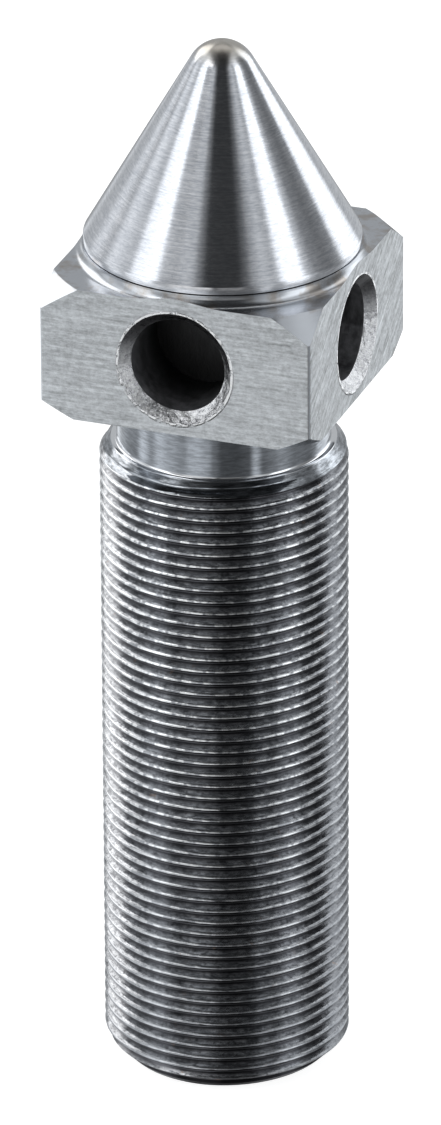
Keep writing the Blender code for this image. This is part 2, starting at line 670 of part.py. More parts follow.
def make_end_plug(steel, rubber, brass):
    """The threaded plug that closes the shank, with two spanner holes, its O-ring and its grease fitting."""
    thread = PLUG_THREAD_RADIUS
    groove_floor = PLUG_NOSE_RADIUS - O_RING_GROOVE_DEPTH
    groove_half = O_RING_SECTION + 2 * CLEAR
    stem_bore = FITTING_STEM_RADIUS + FIT
    counterbore_z = PLUG_RECESS + PLUG_COUNTERBORE_DEPTH
    profile = [
        (PLUG_NOSE_RADIUS - PLUG_CHAMFER, PLUG_TOP_Z),
        (PLUG_NOSE_RADIUS, PLUG_TOP_Z - PLUG_CHAMFER),
        (PLUG_NOSE_RADIUS, O_RING_Z + groove_half),
        (groove_floor, O_RING_Z + groove_half),
        (groove_floor, O_RING_Z - groove_half),
        (PLUG_NOSE_RADIUS, O_RING_Z - groove_half),
        (PLUG_NOSE_RADIUS, PLUG_THREAD_LENGTH),
        (thread, PLUG_THREAD_LENGTH),
        (thread, PLUG_RECESS + PLUG_CHAMFER),
        (thread - PLUG_CHAMFER, PLUG_RECESS),
        (PLUG_COUNTERBORE_RADIUS, PLUG_RECESS),
        (PLUG_COUNTERBORE_RADIUS, counterbore_z),
        (stem_bore, counterbore_z),
        (stem_bore, PLUG_TOP_Z),
    ]
    plug = turned("end_plug", profile, INNER_FACETS)
    place = Matrix.Translation((PLUG_SPANNER_RADIUS, 0.0, PLUG_RECESS))
    holes = cylinder_ring("spanner_holes", 2, PLUG_SPANNER_HOLE, 2 * PLUG_SPANNER_DEPTH, place, 12)
    combine(plug, holes, "DIFFERENCE")
    finish_piece(plug, steel)

    ring_radius = groove_floor + FIT + O_RING_SECTION
    o_ring = turned("plug_o_ring", arc(ring_radius, O_RING_Z, O_RING_SECTION, 90, -225, 7), INNER_FACETS)
    finish_piece(o_ring, rubber)

    head_z = counterbore_z - FIT
    face_z = PLUG_RECESS + 4 * CLEAR
    end_z = PLUG_TOP_Z + FITTING_STEM_REACH
    edge = FITTING_STEM_REACH / 3
    profile = [
        (0.0, end_z),
        (FITTING_STEM_RADIUS - edge, end_z),
        (FITTING_STEM_RADIUS, end_z - edge),
        (FITTING_STEM_RADIUS, head_z),
        (FITTING_HEAD_RADIUS, head_z),
        (FITTING_HEAD_RADIUS, face_z + FITTING_HEAD_CHAMFER),
        (FITTING_HEAD_RADIUS - FITTING_HEAD_CHAMFER, face_z),
        (FITTING_MOUTH, face_z),
        (0.0, face_z + FITTING_MOUTH),
    ]
    finish_piece(turned("grease_fitting", profile, 16, closed=False), brass)


def main():
    clear_scene()
    new_collection(LIVE_CENTRE)
    new_collection(CUTTERS)
    body_steel = new_material("body_steel", (0.60, 0.61, 0.62), 0.38, 1.0)
    point_steel = new_material("point_steel", (0.66, 0.67, 0.69), 0.22, 1.0)
    bearing_steel = new_material("bearing_steel", (0.70, 0.71, 0.73), 0.15, 1.0)
    dark_steel = new_material("dark_steel", (0.16, 0.16, 0.17), 0.45, 0.8)
    brass = new_material("brass", (0.72, 0.55, 0.28), 0.30, 1.0)
    felt = new_material("felt", (0.16, 0.15, 0.14), 0.95, 0.0)
    rubber = new_material("rubber", (0.03, 0.03, 0.03), 0.70, 0.0)
    make_body(body_steel)
    make_point(point_steel)
    make_thrust_bearing(bearing_steel, brass)
    make_ball_bearing("front_bearing", FRONT_BEARING_Z, bearing_steel, brass)
    make_ball_bearing("rear_bearing", REAR_BEARING_Z, bearing_steel, brass)
    make_spacers(bearing_steel)
    make_lock_nut(dark_steel)
    make_lock_washer(bearing_steel)
    make_circlip(dark_steel)
    make_seal(felt)
    make_end_plug(dark_steel, rubber, brass)


main()
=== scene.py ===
"""Live center: fine surfaces, finishes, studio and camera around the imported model.

The axis of rotation is +Z and the origin is the centre of the shank's rear face. Sizes are in metres.
The two pieces that show are made again here with fine detail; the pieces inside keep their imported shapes.
"""

import json
import math

import bmesh
import bpy
import numpy as np
from mathutils import Matrix, Vector, noise


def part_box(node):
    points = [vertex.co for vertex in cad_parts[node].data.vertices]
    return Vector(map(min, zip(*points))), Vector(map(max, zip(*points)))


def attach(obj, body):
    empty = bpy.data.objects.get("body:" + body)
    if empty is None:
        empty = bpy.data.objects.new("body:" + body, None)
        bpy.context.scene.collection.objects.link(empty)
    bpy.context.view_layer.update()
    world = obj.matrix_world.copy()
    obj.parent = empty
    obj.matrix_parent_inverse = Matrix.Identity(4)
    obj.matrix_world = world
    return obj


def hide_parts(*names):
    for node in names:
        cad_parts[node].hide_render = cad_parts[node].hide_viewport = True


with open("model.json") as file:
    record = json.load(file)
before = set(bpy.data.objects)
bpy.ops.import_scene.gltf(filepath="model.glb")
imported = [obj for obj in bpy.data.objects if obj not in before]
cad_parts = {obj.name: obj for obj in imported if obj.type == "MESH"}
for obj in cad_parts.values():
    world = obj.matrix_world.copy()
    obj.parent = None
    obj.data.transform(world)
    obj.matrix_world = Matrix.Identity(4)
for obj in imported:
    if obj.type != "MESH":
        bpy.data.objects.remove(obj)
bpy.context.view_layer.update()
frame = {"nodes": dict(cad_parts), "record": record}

MM = 0.001
MERGE_DISTANCE = 0.001 * MM  # points closer than this are one point

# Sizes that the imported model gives
body_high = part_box("threaded_body")[1]
point_low, point_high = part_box("point_spindle")
FLAT = body_high.x  # from the axis to a flat of the head
SEAM_TOP = body_high.z  # the boss's top, at the running gap
TIP_Z = point_high.z
SPINDLE_TAIL_Z = point_low.z

# Thread
THREAD_RADIUS = 20.6375 * MM
THREAD_PITCH = 25.4 / 12.0 * MM
THREAD_DEPTH = 0.6134 * THREAD_PITCH
THREAD_START = 1.2 * MM - 2 * THREAD_PITCH  # height of a crest where the thread's turns begin
CREST_WEAR = 0.12 * MM

# Head, boss, neck and shank
BOSS_HEIGHT = 1.8 * MM
BOSS_RADIUS = 23.1 * MM
BOSS_FILLET = 1.7 * MM
HEAD_TOP_Z = SEAM_TOP - BOSS_HEIGHT
HEAD_HEIGHT = 23.3 * MM
HEAD_BOTTOM_Z = HEAD_TOP_Z - HEAD_HEIGHT
HEAD_CORNER_BEVEL = 0.5 * MM
TOP_CHAMFER_RADIUS = 28.7 * MM
TOP_CHAMFER_DROP = 4.6 * MM
BOTTOM_CHAMFER_RADIUS = 29.3 * MM
BOTTOM_CHAMFER_RISE = 3.0 * MM
HEAD_CORNER_RADIUS = 33.3 * MM
NECK_RADIUS = 17.75 * MM
NECK_BOTTOM_Z = 112.6 * MM
NECK_FILLET = 0.5 * MM
SHOULDER_CHAMFER = 2.0 * MM
REAR_CHAMFER = 3.4 * MM

# Capstan holes
CAPSTAN_RADIUS = 8.1 * MM
CAPSTAN_MOUTH_RADIUS = 9.8 * MM
CAPSTAN_Z = HEAD_BOTTOM_Z + HEAD_HEIGHT / 2
CAPSTAN_FLOOR = 9.4 * MM

# Bores inside the body, and the seal's seat
THRUST_POCKET_RADIUS = 15.1 * MM
THRUST_FLOOR_Z = HEAD_TOP_Z - 1.0 * MM
HEAD_BORE = 7.3 * MM
BEARING_BORE = 12.05 * MM
BEARING_SHOULDER_Z = 113.25 * MM
CIRCLIP_GROOVE_RADIUS = 12.75 * MM
CIRCLIP_GROOVE_TOP = 61.15 * MM
CIRCLIP_GROOVE_BOTTOM = 59.85 * MM
PLUG_BORE = 13.1 * MM
PLUG_BORE_LENGTH = 8.0 * MM
SEAL_INNER = 17.2 * MM
SEAL_OUTER = 19.6 * MM
SEAL_DEPTH = 1.7 * MM

# The point and its spindle
SEAM = 0.3 * MM
POINT_LIP = 0.22 * MM  # a lip on the point's rim that covers most of the running gap
POINT_LIP_RADIUS = 20.4 * MM
POINT_BOTTOM_Z = SEAM_TOP + SEAM
POINT_LAND = 1.1 * MM
POINT_HALF_ANGLE = math.radians(30.0)
POINT_TIP_RADIUS = 5.9 * MM
POINT_POCKET_Z = THRUST_FLOOR_Z + 9.05 * MM
JOURNAL_RADIUS = 8.38 * MM
WAIST_RADIUS = 7.0 * MM
SEAT_RADIUS = 5.88 * MM

# Steps round a full turn, and the sharpest angle in degrees that is still shaded smooth
FINE = 192
POINT_STEPS = 256
BORE_STEPS = 96
THREAD_STEPS = 144
BODY_SMOOTH_ANGLE = 32
POINT_SMOOTH_ANGLE = 40

# Wear and tool marks: noise cells per metre, and depths
CREST_CELLS = 1500
CREST_TORN = 0.02 * MM
CREST_NICK = 0.16 * MM
CREST_WANDER = 0.035 * MM
CREST_LOWERED = 0.01 * MM
GROOVE_DIVE = 0.8  # how steeply the grooves run in over the rear chamfer
MOUTH_CELLS = 700
MOUTH_TORN = 0.26 * MM
MOUTH_WANDER = 0.24 * MM
RIDGE_CELLS = 2600
RIDGE_HEIGHT = 0.006 * MM

# Which finish a face of the body has
TURNED, THREADED, FRONT_FLAT, SIDE_FLAT, MOUTH, BORE = range(6)

# Camera
CAMERA_AZIMUTH = math.radians(20.08)
CAMERA_ELEVATION = math.radians(25.51)
CAMERA_DISTANCE = 1.845
CAMERA_LENS = 355.7
CAMERA_ROLL = math.radians(-0.33)
CAMERA_TARGET_Z = 89.2 * MM
CAMERA_SHIFT = -0.68 * MM  # of the target, to the right
CAMERA_NEAR = 0.05
CAMERA_FAR = 50.0


# ---------------------------------------------------------------- shape helpers


def arc(centre_radius, centre_z, radius, start, end, steps):
    """Profile points on an arc, angles in degrees from +X towards +Z."""
    points = []
    for i in range(steps + 1):
        angle = math.radians(start + (end - start) * i / steps)
        points.append((centre_radius + radius * math.cos(angle), centre_z + radius * math.sin(angle)))
    return points


def add_object(name, mesh):
    thing = bpy.data.objects.new(name, mesh)
    bpy.context.scene.collection.objects.link(thing)
    return thing


def apply_modifiers(thing):
    graph = bpy.context.evaluated_depsgraph_get()
    baked = bpy.data.meshes.new_from_object(thing.evaluated_get(graph))
    thing.modifiers.clear()
    thing.data = baked
    return thing


def profile_object(name, profile):
    """An open chain of edges in the XZ plane."""
    mesh = bpy.data.meshes.new(name)
    shape = bmesh.new()
    corners = [shape.verts.new((radius, 0.0, z)) for radius, z in profile]
    for first, second in zip(corners, corners[1:]):
        shape.edges.new((first, second))
    shape.to_mesh(mesh)
    shape.free()
    return add_object(name, mesh)


def lathe(name, profile, steps=FINE):
    """A solid of revolution. The profile starts and ends on the axis and runs down its outer side."""
    thing = profile_object(name, profile)
    screw = thing.modifiers.new("turn", "SCREW")
    screw.steps = steps
    screw.render_steps = steps
    screw.use_merge_vertices = True
    screw.merge_threshold = MERGE_DISTANCE
    return apply_modifiers(thing)


def disc(name, radius, top, bottom):
    return lathe(name, [(0.0, top), (radius, top), (radius, bottom), (0.0, bottom)], BORE_STEPS)


def cut(thing, tool, operation="DIFFERENCE", solver="EXACT"):
    """Boolean of thing with tool, after which the tool is removed."""
    boolean = thing.modifiers.new("cut", "BOOLEAN")
    boolean.operation = operation
    boolean.solver = solver
    boolean.object = tool
    apply_modifiers(thing)
    bpy.data.objects.remove(tool)
    return thing


def subdivided(profile, spacing):
    """The profile with its long straight stretches split, so that they can carry detail."""
    points = [profile[0]]
    for (r0, z0), (r1, z1) in zip(profile, profile[1:]):
        count = max(1, math.ceil(math.hypot(r1 - r0, z1 - z0) / spacing))
        for i in range(1, count + 1):
            points.append((r0 + (r1 - r0) * i / count, z0 + (z1 - z0) * i / count))
    return points


# ---------------------------------------------------------------- the body


def head_blank():
    """Head, boss and neck as turned, before the square is cut."""
    stub_z = NECK_BOTTOM_Z - 4 * MM
    flare = NECK_RADIUS + NECK_FILLET
    edge = 0.12 * MM
    profile = [(0.0, SEAM_TOP), (BOSS_RADIUS - edge, SEAM_TOP)]
    profile += arc(BOSS_RADIUS + BOSS_FILLET, HEAD_TOP_Z + BOSS_FILLET, BOSS_FILLET, 176, 270, 14)
    profile += [
        (TOP_CHAMFER_RADIUS, HEAD_TOP_Z),
        (HEAD_CORNER_RADIUS, HEAD_TOP_Z - TOP_CHAMFER_DROP),
        (HEAD_CORNER_RADIUS, HEAD_BOTTOM_Z + BOTTOM_CHAMFER_RISE),
        (BOTTOM_CHAMFER_RADIUS, HEAD_BOTTOM_Z),
        (NECK_RADIUS, HEAD_BOTTOM_Z),
    ]
    profile += arc(flare, NECK_BOTTOM_Z + NECK_FILLET - 0.05 * MM, NECK_FILLET, 180, 270, 8)
    profile += [(flare, stub_z), (0.0, stub_z)]
    return lathe("threaded_body_fine", profile)


def square_bar():
    """The square bar that the head is milled to, its long edges rounded."""
    mesh = bpy.data.meshes.new("square_bar")
    shape = bmesh.new()
    length = 2 * (SEAM_TOP + 20 * MM)
    bmesh.ops.create_cube(shape, size=1.0, matrix=Matrix.Diagonal((2 * FLAT, 2 * FLAT, length, 1.0)))
    upright = [e for e in shape.edges if abs(e.verts[0].co.z - e.verts[1].co.z) > length / 2]
    bmesh.ops.bevel(shape, geom=upright, offset=HEAD_CORNER_BEVEL, segments=4, profile=0.5, affect="EDGES")
    shape.to_mesh(mesh)
    shape.free()
    return add_object("square_bar", mesh)


def thread_outline(start):
    """One pitch of the external thread, from the top down: worn crest, flank, rounded root, flank."""
    root_radius = THREAD_RADIUS - THREAD_DEPTH
    crest_flat = THREAD_PITCH / 8
    flank_rise = THREAD_DEPTH * math.tan(math.radians(30))
    root_flat = THREAD_PITCH - crest_flat - 2 * flank_rise
    worn = CREST_WEAR
    drop = worn * math.tan(math.radians(30))
    top = start + drop
    points = [(THREAD_RADIUS - worn, top)]
    points.append((THREAD_RADIUS - worn * 0.25, top - drop * 0.9 - crest_flat * 0.15))
    points.append((THREAD_RADIUS, start - crest_flat * 0.5))
    points.append((THREAD_RADIUS - worn * 0.25, start - crest_flat * 0.95))
    foot = start - crest_flat - flank_rise
    points.append((root_radius + worn, foot + drop))
    points.append((root_radius, foot - root_flat * 0.3))
    points.append((root_radius, foot - root_flat * 0.7))
    points.append((root_radius + worn, foot - root_flat - drop))
    points.append((THREAD_RADIUS - THREAD_DEPTH * 0.5, foot - root_flat - flank_rise * 0.5))
    points.append((THREAD_RADIUS - worn, top - THREAD_PITCH))
    return points


def wear_thread(shape):
    """Uneven, torn crests: each crest point moves in and along the axis a little, the roots hardly at all.

    Over the rear chamfer the grooves dive inwards, so that the thread runs out at the rear face.
    """
    root_radius = THREAD_RADIUS - THREAD_DEPTH
    for vert in shape.verts:
        radius = math.hypot(vert.co.x, vert.co.y)
        if radius < root_radius * 0.9:
            continue
        share = max(0.0, (radius - root_radius) / THREAD_DEPTH)
        dive = min(REAR_CHAMFER, max(0.0, REAR_CHAMFER - vert.co.z)) * GROOVE_DIVE
        vert.co.x *= 1.0 - dive / radius
        vert.co.y *= 1.0 - dive / radius
        place = vert.co * CREST_CELLS
        torn = noise.noise(place + Vector((0.0, 0.0, 31.0)))
        nick = max(0.0, noise.noise(place * 0.8 + Vector((7.0, 3.0, 1.0))) - 0.3)
        inward = (CREST_TORN * torn + CREST_NICK * nick + CREST_LOWERED) * share * share
        vert.co.x *= 1.0 - inward / radius
        vert.co.y *= 1.0 - inward / radius
        vert.co.z += CREST_WANDER * noise.noise(place + Vector((11.0, 0.0, 0.0))) * share


def threaded_rod():
    """A right-handed threaded rod, longer than the shank at both ends and closed on the axis."""
    turns = math.ceil(NECK_BOTTOM_Z / THREAD_PITCH) + 4
    rod = profile_object("threaded_rod", thread_outline(THREAD_START))
    screw = rod.modifiers.new("helix", "SCREW")
    screw.screw_offset = THREAD_PITCH
    screw.iterations = turns
    screw.steps = THREAD_STEPS
    screw.render_steps = THREAD_STEPS
    apply_modifiers(rod)
    shape = bmesh.new()
    shape.from_mesh(rod.data)
    bmesh.ops.remove_doubles(shape, verts=shape.verts, dist=MERGE_DISTANCE)
    wear_thread(shape)
    middle = NECK_BOTTOM_Z / 2
    for end_z in (THREAD_START - 3 * THREAD_PITCH, THREAD_START + (turns + 3) * THREAD_PITCH):
        rim = [e for e in shape.edges if e.is_boundary and (e.verts[0].co.z > middle) == (end_z > middle)]
        grown = bmesh.ops.extrude_edge_only(shape, edges=rim)["geom"]
        tip = [v for v in grown if isinstance(v, bmesh.types.BMVert)]
        bmesh.ops.pointmerge(shape, verts=tip, merge_co=(0.0, 0.0, end_z))
    bmesh.ops.recalc_face_normals(shape, faces=shape.faces)
    shape.to_mesh(rod.data)
    shape.free()
    return rod


def shank_blank():
    """What the threaded rod is cut down to: the shank between its two chamfers."""
    outside = THREAD_RADIUS + 0.3 * MM
    shoulder = outside - THREAD_RADIUS + SHOULDER_CHAMFER
    rear = outside - THREAD_RADIUS + REAR_CHAMFER
    profile = [
        (0.0, NECK_BOTTOM_Z),
        (outside - shoulder, NECK_BOTTOM_Z),
        (outside, NECK_BOTTOM_Z - shoulder),
        (outside, rear),
        (outside - rear, 0.0),
        (0.0, 0.0),
    ]
    return lathe("shank_blank", profile)


def body_bores():
    """The bores along the axis: thrust pocket, bearing bore with its circlip groove, and plug bore."""
    top = SEAM_TOP + MM
    profile = [
        (0.0, top),
        (THRUST_POCKET_RADIUS, top),
        (THRUST_POCKET_RADIUS, THRUST_FLOOR_Z),
        (HEAD_BORE, THRUST_FLOOR_Z),
        (HEAD_BORE, BEARING_SHOULDER_Z),
        (BEARING_BORE, BEARING_SHOULDER_Z),
        (BEARING_BORE, CIRCLIP_GROOVE_TOP),
        (CIRCLIP_GROOVE_RADIUS, CIRCLIP_GROOVE_TOP),
        (CIRCLIP_GROOVE_RADIUS, CIRCLIP_GROOVE_BOTTOM),
        (BEARING_BORE, CIRCLIP_GROOVE_BOTTOM),
        (BEARING_BORE, PLUG_BORE_LENGTH),
        (PLUG_BORE, PLUG_BORE_LENGTH),
        (PLUG_BORE, -MM),
        (0.0, -MM),
    ]
    return lathe("body_bores", profile, BORE_STEPS)


def seal_seat():
    """The ring that the felt seal sits in."""
    seal_bottom = SEAM_TOP - SEAL_DEPTH
    ring = disc("seal_seat", SEAL_OUTER, SEAM_TOP + MM, seal_bottom)
    core = disc("seal_core", SEAL_INNER, SEAM_TOP + 2 * MM, seal_bottom - MM)
    return cut(ring, core)


def capstan_cutter(quarter):
    """One blind capstan hole. Its countersink was cut with a chattering tool, so its rim is uneven."""
    countersink = CAPSTAN_MOUTH_RADIUS - CAPSTAN_RADIUS
    beyond = 0.6 * MM
    profile = [
        (0.0, FLAT + beyond),
        (CAPSTAN_MOUTH_RADIUS + beyond, FLAT + beyond),
        (CAPSTAN_MOUTH_RADIUS - countersink * 0.4, FLAT - countersink * 0.4),
        (CAPSTAN_RADIUS + countersink * 0.25, FLAT - countersink * 0.8),
        (CAPSTAN_RADIUS, FLAT - countersink),
        (CAPSTAN_RADIUS, CAPSTAN_FLOOR),
        (0.0, CAPSTAN_FLOOR),
    ]
    cutter = lathe("capstan_hole", profile, BORE_STEPS)
    for vert in cutter.data.vertices:
        if vert.co.z < FLAT - countersink * 0.9 or vert.co.xy.length < CAPSTAN_RADIUS:
            continue
        place = vert.co * MOUTH_CELLS + Vector((quarter * 5.0, 0.0, 0.0))
        torn = min(1.3, max(0.2, 0.7 + 0.8 * vert.co.x / CAPSTAN_MOUTH_RADIUS))
        depth = noise.noise(place) * MOUTH_TORN + noise.noise(place * 0.35) * MOUTH_WANDER
        rough = 1.0 + depth * torn / CAPSTAN_RADIUS
        vert.co.x *= rough
        vert.co.y *= rough
    turned_out = Matrix.Rotation(quarter * math.pi / 2, 4, "Z") @ Matrix.Rotation(math.pi / 2, 4, "Y")
    cutter.data.transform(Matrix.Translation((0.0, 0.0, CAPSTAN_Z)) @ turned_out)
    return cutter


def body_surface_kinds(mesh):
    """The finish of each face, by where the face lies and which way it looks."""
    count = len(mesh.polygons)
    centre = np.empty(count * 3, np.float32)
    normal = np.empty(count * 3, np.float32)
    mesh.polygons.foreach_get("center", centre)
    mesh.polygons.foreach_get("normal", normal)
    centre = centre.reshape(-1, 3)
    normal = normal.reshape(-1, 3)
    radius = np.hypot(centre[:, 0], centre[:, 1])
    z = centre[:, 2]
    kind = np.full(count, TURNED, np.int32)
    below_neck = z < NECK_BOTTOM_Z - SHOULDER_CHAMFER * 0.98
    kind[below_neck & (z > 0.01 * MM) & (radius > BEARING_BORE + 2 * MM)] = THREADED
    flat_face = np.zeros(count, bool)
    for axis, flat_kind in ((1, FRONT_FLAT), (0, SIDE_FLAT)):
        on_flat = (np.abs(normal[:, axis]) > 0.98) & (np.abs(centre[:, axis]) > FLAT - 0.02 * MM)
        kind[on_flat] = flat_kind
        flat_face |= on_flat
    in_head = (z > HEAD_BOTTOM_Z) & (z < HEAD_TOP_Z - MM) & ~flat_face
    from_x_hole = np.hypot(centre[:, 1], z - CAPSTAN_Z)
    from_y_hole = np.hypot(centre[:, 0], z - CAPSTAN_Z)
    from_hole = np.minimum(from_x_hole, from_y_hole)
    mouth_floor = FLAT - (CAPSTAN_MOUTH_RADIUS - CAPSTAN_RADIUS)
    deep = np.maximum(np.abs(centre[:, 0]), np.abs(centre[:, 1])) < mouth_floor
    near_mouth = (from_hole < CAPSTAN_MOUTH_RADIUS + MM) & (radius < HEAD_CORNER_RADIUS)
    kind[in_head & near_mouth & ~deep] = MOUTH
    kind[in_head & (from_hole < CAPSTAN_RADIUS + 0.1 * MM) & deep] = BORE
    return kind


def make_body(finishes):
    """The body: milled head, turned boss and neck, and the threaded shank, in one solid."""
    body = head_blank()
    cut(body, square_bar(), "INTERSECT")
    for quarter in range(4):
        cut(body, capstan_cutter(quarter))
    rod = threaded_rod()
    cut(rod, shank_blank(), "INTERSECT", "MANIFOLD")
    cut(body, rod, "UNION", "MANIFOLD")
    cut(body, body_bores(), "DIFFERENCE", "MANIFOLD")
    cut(body, seal_seat(), "DIFFERENCE", "MANIFOLD")
    mesh = body.data
    mesh.materials.clear()
    for finish in finishes:
        mesh.materials.append(finish)
    mesh.polygons.foreach_set("material_index", body_surface_kinds(mesh))
    mesh.shade_smooth()
    mesh.set_sharp_from_angle(angle=math.radians(BODY_SMOOTH_ANGLE))
    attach(body, "housing")
    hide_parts("threaded_body")


# ---------------------------------------------------------------- the point


def make_point(steel):
    """The point, with the fine ridges that the turning tool left on it, and its spindle."""
    base_z = POINT_BOTTOM_Z + POINT_LAND
    apex_z = TIP_Z - POINT_TIP_RADIUS + POINT_TIP_RADIUS / math.sin(POINT_HALF_ANGLE)
    tip_centre_z = TIP_Z - POINT_TIP_RADIUS
    base_radius = (apex_z - base_z) * math.tan(POINT_HALF_ANGLE)
    tangent = math.degrees(POINT_HALF_ANGLE)
    edge = 0.1 * MM
    nose = arc(0.0, tip_centre_z, POINT_TIP_RADIUS, 90, tangent, 24)
    nose[0] = (0.0, nose[0][1])
    flank = subdivided([nose[-1], (base_radius - edge * 0.6, base_z + edge)], 0.16 * MM)
    profile = nose + flank[1:]
    profile += [
        (base_radius, base_z - edge * 0.5),
        (base_radius, POINT_BOTTOM_Z - POINT_LIP + edge),
        (base_radius - edge, POINT_BOTTOM_Z - POINT_LIP),
        (POINT_LIP_RADIUS, POINT_BOTTOM_Z - POINT_LIP),
        (POINT_LIP_RADIUS, POINT_BOTTOM_Z),
        (THRUST_POCKET_RADIUS, POINT_BOTTOM_Z),
        (THRUST_POCKET_RADIUS, POINT_POCKET_Z),
        (JOURNAL_RADIUS, POINT_POCKET_Z),
        (JOURNAL_RADIUS, THRUST_FLOOR_Z + 0.5 * MM),
        (WAIST_RADIUS, THRUST_FLOOR_Z),
        (WAIST_RADIUS, BEARING_SHOULDER_Z),
        (SEAT_RADIUS, BEARING_SHOULDER_Z),
        (SEAT_RADIUS, SPINDLE_TAIL_Z + 0.6 * MM),
        (SEAT_RADIUS - 0.6 * MM, SPINDLE_TAIL_Z),
        (0.0, SPINDLE_TAIL_Z),
    ]
    point = lathe("point_spindle_fine", profile, POINT_STEPS)
    for vert in point.data.vertices:
        radius = vert.co.xy.length
        if vert.co.z < base_z + 0.2 * MM or radius < 0.5 * MM:
            continue
        ridge = noise.noise(Vector((0.0, 3.0, vert.co.z * RIDGE_CELLS))) * RIDGE_HEIGHT
        inward = 1.0 - (RIDGE_HEIGHT + ridge) / radius
        vert.co.x *= inward
        vert.co.y *= inward
    point.data.materials.clear()
    point.data.materials.append(steel)
    point.data.shade_smooth()
    point.data.set_sharp_from_angle(angle=math.radians(POINT_SMOOTH_ANGLE))
    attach(point, "spindle")
    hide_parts("point_spindle")


# ---------------------------------------------------------------- finishes


class Finish:
    """A Principled material and short calls that add nodes to it."""

    def __init__(self, name, colour, roughness, metallic):
        self.material = bpy.data.materials.new(name)
        self.material.use_nodes = True
        self.tree = self.material.node_tree
        self.shader = self.tree.nodes["Principled BSDF"]
        self.shader.inputs["Base Color"].default_value = (*colour, 1.0)
        self.shader.inputs["Roughness"].default_value = roughness
        self.shader.inputs["Metallic"].default_value = metallic
        self.place = self.add("ShaderNodeTexCoord").outputs["Object"]
        parts = self.add("ShaderNodeSeparateXYZ")
        self.link(self.place, parts.inputs["Vector"])
        self.height = parts.outputs["Z"]
        self.axes = parts.outputs
        across = self.add("ShaderNodeCombineXYZ")
        self.link(parts.outputs["X"], across.inputs["X"])
        self.link(parts.outputs["Y"], across.inputs["Y"])
        length = self.add("ShaderNodeVectorMath", operation="LENGTH")
        self.link(across.outputs["Vector"], length.inputs[0])
        self.radius = length.outputs["Value"]

    def add(self, kind, **settings):
        node = self.tree.nodes.new(kind)
        for key, value in settings.items():
            setattr(node, key, value)
        return node

    def link(self, source, target):
        self.tree.links.new(source, target)

    def noise(self, detail, rough, cells, turn=(0.0, 0.0, 0.0)):
        """Noise over the object's own coordinates, turned first, with cells per metre along each axis."""
        turning = self.add("ShaderNodeMapping")
        turning.inputs["Rotation"].default_value = turn
        self.link(self.place, turning.inputs["Vector"])
        mapping = self.add("ShaderNodeMapping")
        mapping.inputs["Scale"].default_value = cells
        self.link(turning.outputs["Vector"], mapping.inputs["Vector"])
        texture = self.add("ShaderNodeTexNoise")
        texture.inputs["Scale"].default_value = 1.0
        texture.inputs["Detail"].default_value = detail
        texture.inputs["Roughness"].default_value = rough
        self.link(mapping.outputs["Vector"], texture.inputs["Vector"])
        return texture.outputs["Fac"]

    def spread(self, value, low, high, to_low=0.0, to_high=1.0):
        """value, mapped from low..high to to_low..to_high and held within it."""
        node = self.add("ShaderNodeMapRange")
        self.link(value, node.inputs["Value"])
        for name, number in (("From Min", low), ("From Max", high), ("To Min", to_low), ("To Max", to_high)):
            node.inputs[name].default_value = number
        return node.outputs["Result"]

    def maths(self, operation, first, second=0.0):
        node = self.add("ShaderNodeMath", operation=operation)
        for index, value in enumerate((first, second)):
            if isinstance(value, (int, float)):
                node.inputs[index].default_value = value
            else:
                self.link(value, node.inputs[index])
        return node.outputs[0]

    def plus(self, first, second):
        return self.maths("ADD", first, second)

    def times(self, first, second):
        return self.maths("MULTIPLY", first, second)

    def weighted(self, *pairs):
        """The sum of each value times its weight."""
        total = self.times(*pairs[0])
        for value, weight in pairs[1:]:
            total = self.plus(total, self.times(value, weight))
        return total

    def drive(self, name, value):
        """Connects value to an input of the shader."""
        self.link(value, self.shader.inputs[name])

    def mix(self, share, first, second):
        """A colour between two colours, each a tuple or an output."""
        node = self.add("ShaderNodeMix", data_type="RGBA")
        self.link(share, node.inputs["Factor"])
        for name, colour in (("A", first), ("B", second)):
            socket = [s for s in node.inputs if s.name == name and s.type == "RGBA"][0]
            if isinstance(colour, tuple):
                socket.default_value = (*colour, 1.0)
            else:
                self.link(colour, socket)
        return [s for s in node.outputs if s.type == "RGBA"][0]

    def bump(self, height, strength, distance):
        """Fine relief: distance is the height of a full step."""
        node = self.add("ShaderNodeBump")
        node.inputs["Strength"].default_value = strength
        node.inputs["Distance"].default_value = distance
        self.link(height, node.inputs["Height"])
        self.drive("Normal", node.outputs["Normal"])
        return node

    def turned(self, anisotropy):
        """Reflections smeared across the turning marks."""
        tangent = self.add("ShaderNodeTangent", direction_type="RADIAL", axis="Z")
        self.drive("Tangent", tangent.outputs["Tangent"])
        self.shader.inputs["Anisotropic"].default_value = anisotropy
        self.shader.inputs["Anisotropic Rotation"].default_value = 0.25


def point_steel():
    """Bright steel with turning lines round it. The nose is a warm grey and rougher."""
    finish = Finish("point_steel_turned", (0.70, 0.71, 0.73), 0.22, 1.0)
    rings = finish.noise(4.0, 0.7, (12.0, 12.0, 3400.0))
    broken = finish.noise(4.0, 0.7, (240.0, 240.0, 3000.0))
    fine = finish.noise(3.0, 0.6, (900.0, 900.0, 4200.0))
    broad = finish.noise(2.0, 0.5, (60.0, 60.0, 500.0))
    streaks = finish.spread(finish.weighted((rings, 0.3), (broken, 0.3), (fine, 0.4)), 0.40, 0.60)
    nose = finish.spread(finish.height, TIP_Z - 2.8 * MM, TIP_Z - 0.8 * MM)
    colour = finish.mix(streaks, (0.56, 0.58, 0.62), (0.84, 0.85, 0.88))
    finish.drive("Base Color", finish.mix(nose, colour, (0.58, 0.55, 0.50)))
    polish = finish.spread(broad, 0.3, 0.7, 0.11, 0.18)
    finish.drive("Roughness", finish.plus(polish, finish.times(nose, 0.10)))
    finish.bump(rings, 0.22, 0.04 * MM)
    finish.turned(0.8)
    return finish.material


